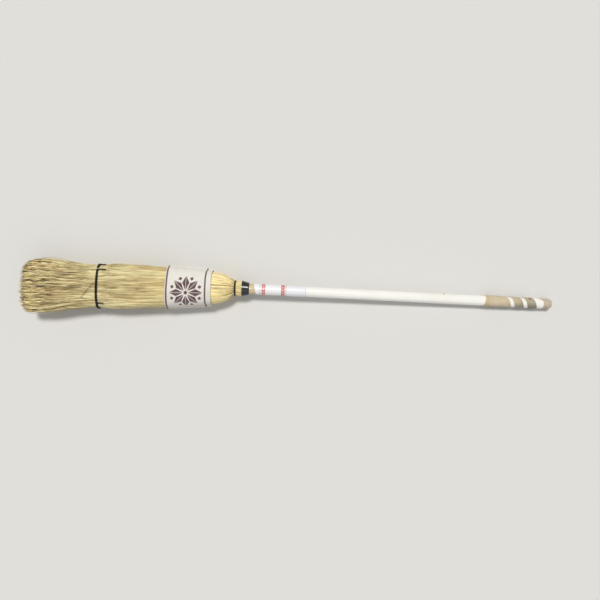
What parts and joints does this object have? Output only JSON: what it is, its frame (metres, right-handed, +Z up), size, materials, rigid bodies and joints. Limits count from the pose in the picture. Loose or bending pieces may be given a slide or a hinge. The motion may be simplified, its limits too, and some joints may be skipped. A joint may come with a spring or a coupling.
{
  "type": "corn curling broom",
  "caption": "Corn curling broom: a round painted handle carries a flat flared head of wired and twined corn, with a sewn cloth sleeve.",
  "frame": {"origin": "centre of the bounding box at the floor, with the broom lying on its butt and its sleeve", "axes": "+X along the broom towards the butt of the handle, +Y across the head, away from the side that the corn leans to, +Z up, out of the front of the head"},
  "size_m": [1.1308, 0.1176, 0.0704],
  "materials": {
    "handle_wood": "turned hardwood under glossy white paint, bare at the neck and the butt",
    "broom_corn": "dried straw fibres with a light sheen",
    "bright_steel": "bright drawn steel",
    "black_wire": "semi-gloss black lacquered wire",
    "black_tape": "high-gloss black vinyl",
    "black_twine": "waxed twisted cord, low sheen",
    "sleeve_cloth": "heavy plain-weave canvas, matt, with printed figures",
    "seam_thread": "matt twisted cotton",
    "label_film": "thin printed film, satin",
    "grip_tape": "woven cloth tape, matt and slightly soiled"
  },
  "bodies": {
    "root": {"handle": "handle_wood", "inside_corn": "broom_corn", "left_shoulder_corn": "broom_corn", "right_shoulder_corn": "broom_corn", "front_cover_corn": "broom_corn", "back_cover_corn": "broom_corn", "start_brad": "bright_steel", "inside_wire": "bright_steel", "shoulder_wire": "bright_steel", "cover_wire": "bright_steel", "end_tack": "bright_steel", "neck_wire": "black_wire", "neck_tape": "black_tape", "upper_twine_near": "black_twine", "upper_twine_far": "black_twine", "lower_twine": "black_twine", "lower_twine_strands": "black_twine", "sleeve_front": "sleeve_cloth", "sleeve_back": "sleeve_cloth", "left_seam_thread": "seam_thread", "right_seam_thread": "seam_thread", "banded_label": "label_film", "plain_label": "label_film", "grip_tape": "grip_tape"}
  },
  "joints": []
}
